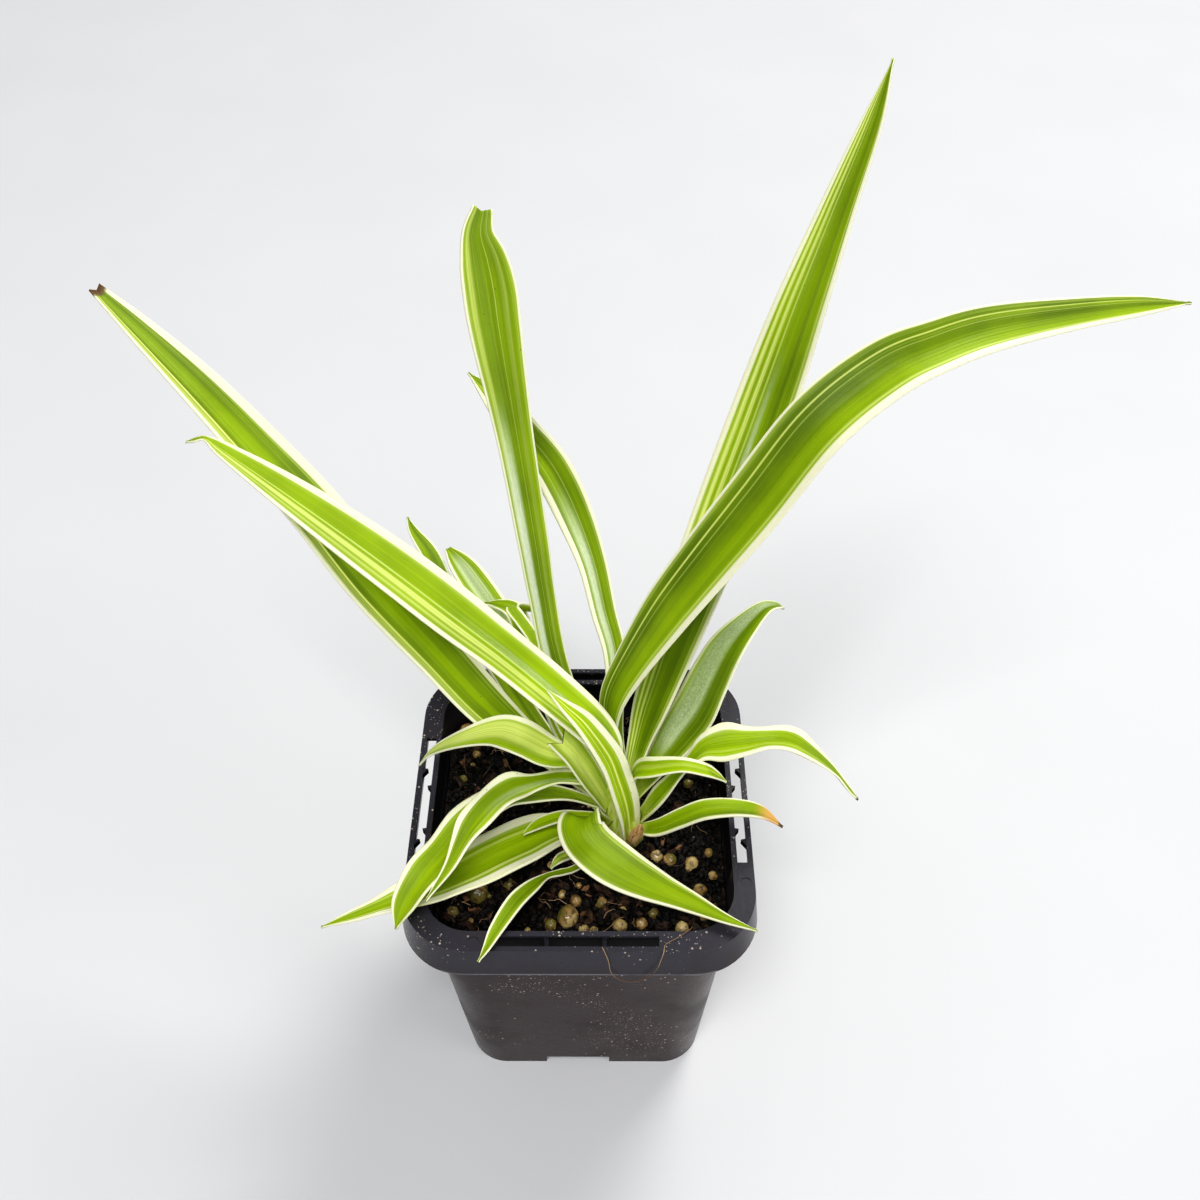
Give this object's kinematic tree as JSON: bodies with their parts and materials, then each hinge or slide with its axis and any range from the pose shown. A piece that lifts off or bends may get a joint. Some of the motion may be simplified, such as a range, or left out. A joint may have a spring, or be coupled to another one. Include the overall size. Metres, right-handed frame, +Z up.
{
  "type": "potted spider plant",
  "caption": "Young variegated spider plant with arching cream and green strap leaves, growing from dark potting mix in a small square black plastic nursery pot.",
  "frame": {"origin": "middle of the pot's base, on the surface it stands on", "axes": "+Z up; -Y is the side of the pot that faces the viewer; the longest leaves rise to the left and the right, leaning back"},
  "size_m": [0.272, 0.1417, 0.2501],
  "materials": {
    "pot_plastic": "satin",
    "potting_mix": "matte",
    "crown_tissue": "satin",
    "leaf_blade": "satin"
  },
  "bodies": {
    "root": {"pot": "pot_plastic", "soil": "potting_mix", "crown": "crown_tissue", "leaf_tall_right": "leaf_blade", "leaf_long_right": "leaf_blade", "leaf_long_left_back": "leaf_blade", "leaf_long_left_front": "leaf_blade", "leaf_inner_left": "leaf_blade", "leaf_cut_short": "leaf_blade", "leaf_left_arching": "leaf_blade", "leaf_left_upper": "leaf_blade", "leaf_left_lower": "leaf_blade", "leaf_left_low": "leaf_blade", "leaf_tiny_left": "leaf_blade", "leaf_front_curled": "leaf_blade", "leaf_front_left": "leaf_blade", "leaf_front_tiny": "leaf_blade", "leaf_right_low": "leaf_blade", "leaf_right_wavy": "leaf_blade", "leaf_right_twisted": "leaf_blade", "leaf_right_broad": "leaf_blade", "leaf_tall_left": "leaf_blade", "leaf_back_arching": "leaf_blade", "leaf_back_left_far": "leaf_blade", "leaf_back_left_broad": "leaf_blade", "leaf_back_left_short": "leaf_blade", "leaf_back_left_curled": "leaf_blade"}
  },
  "joints": []
}
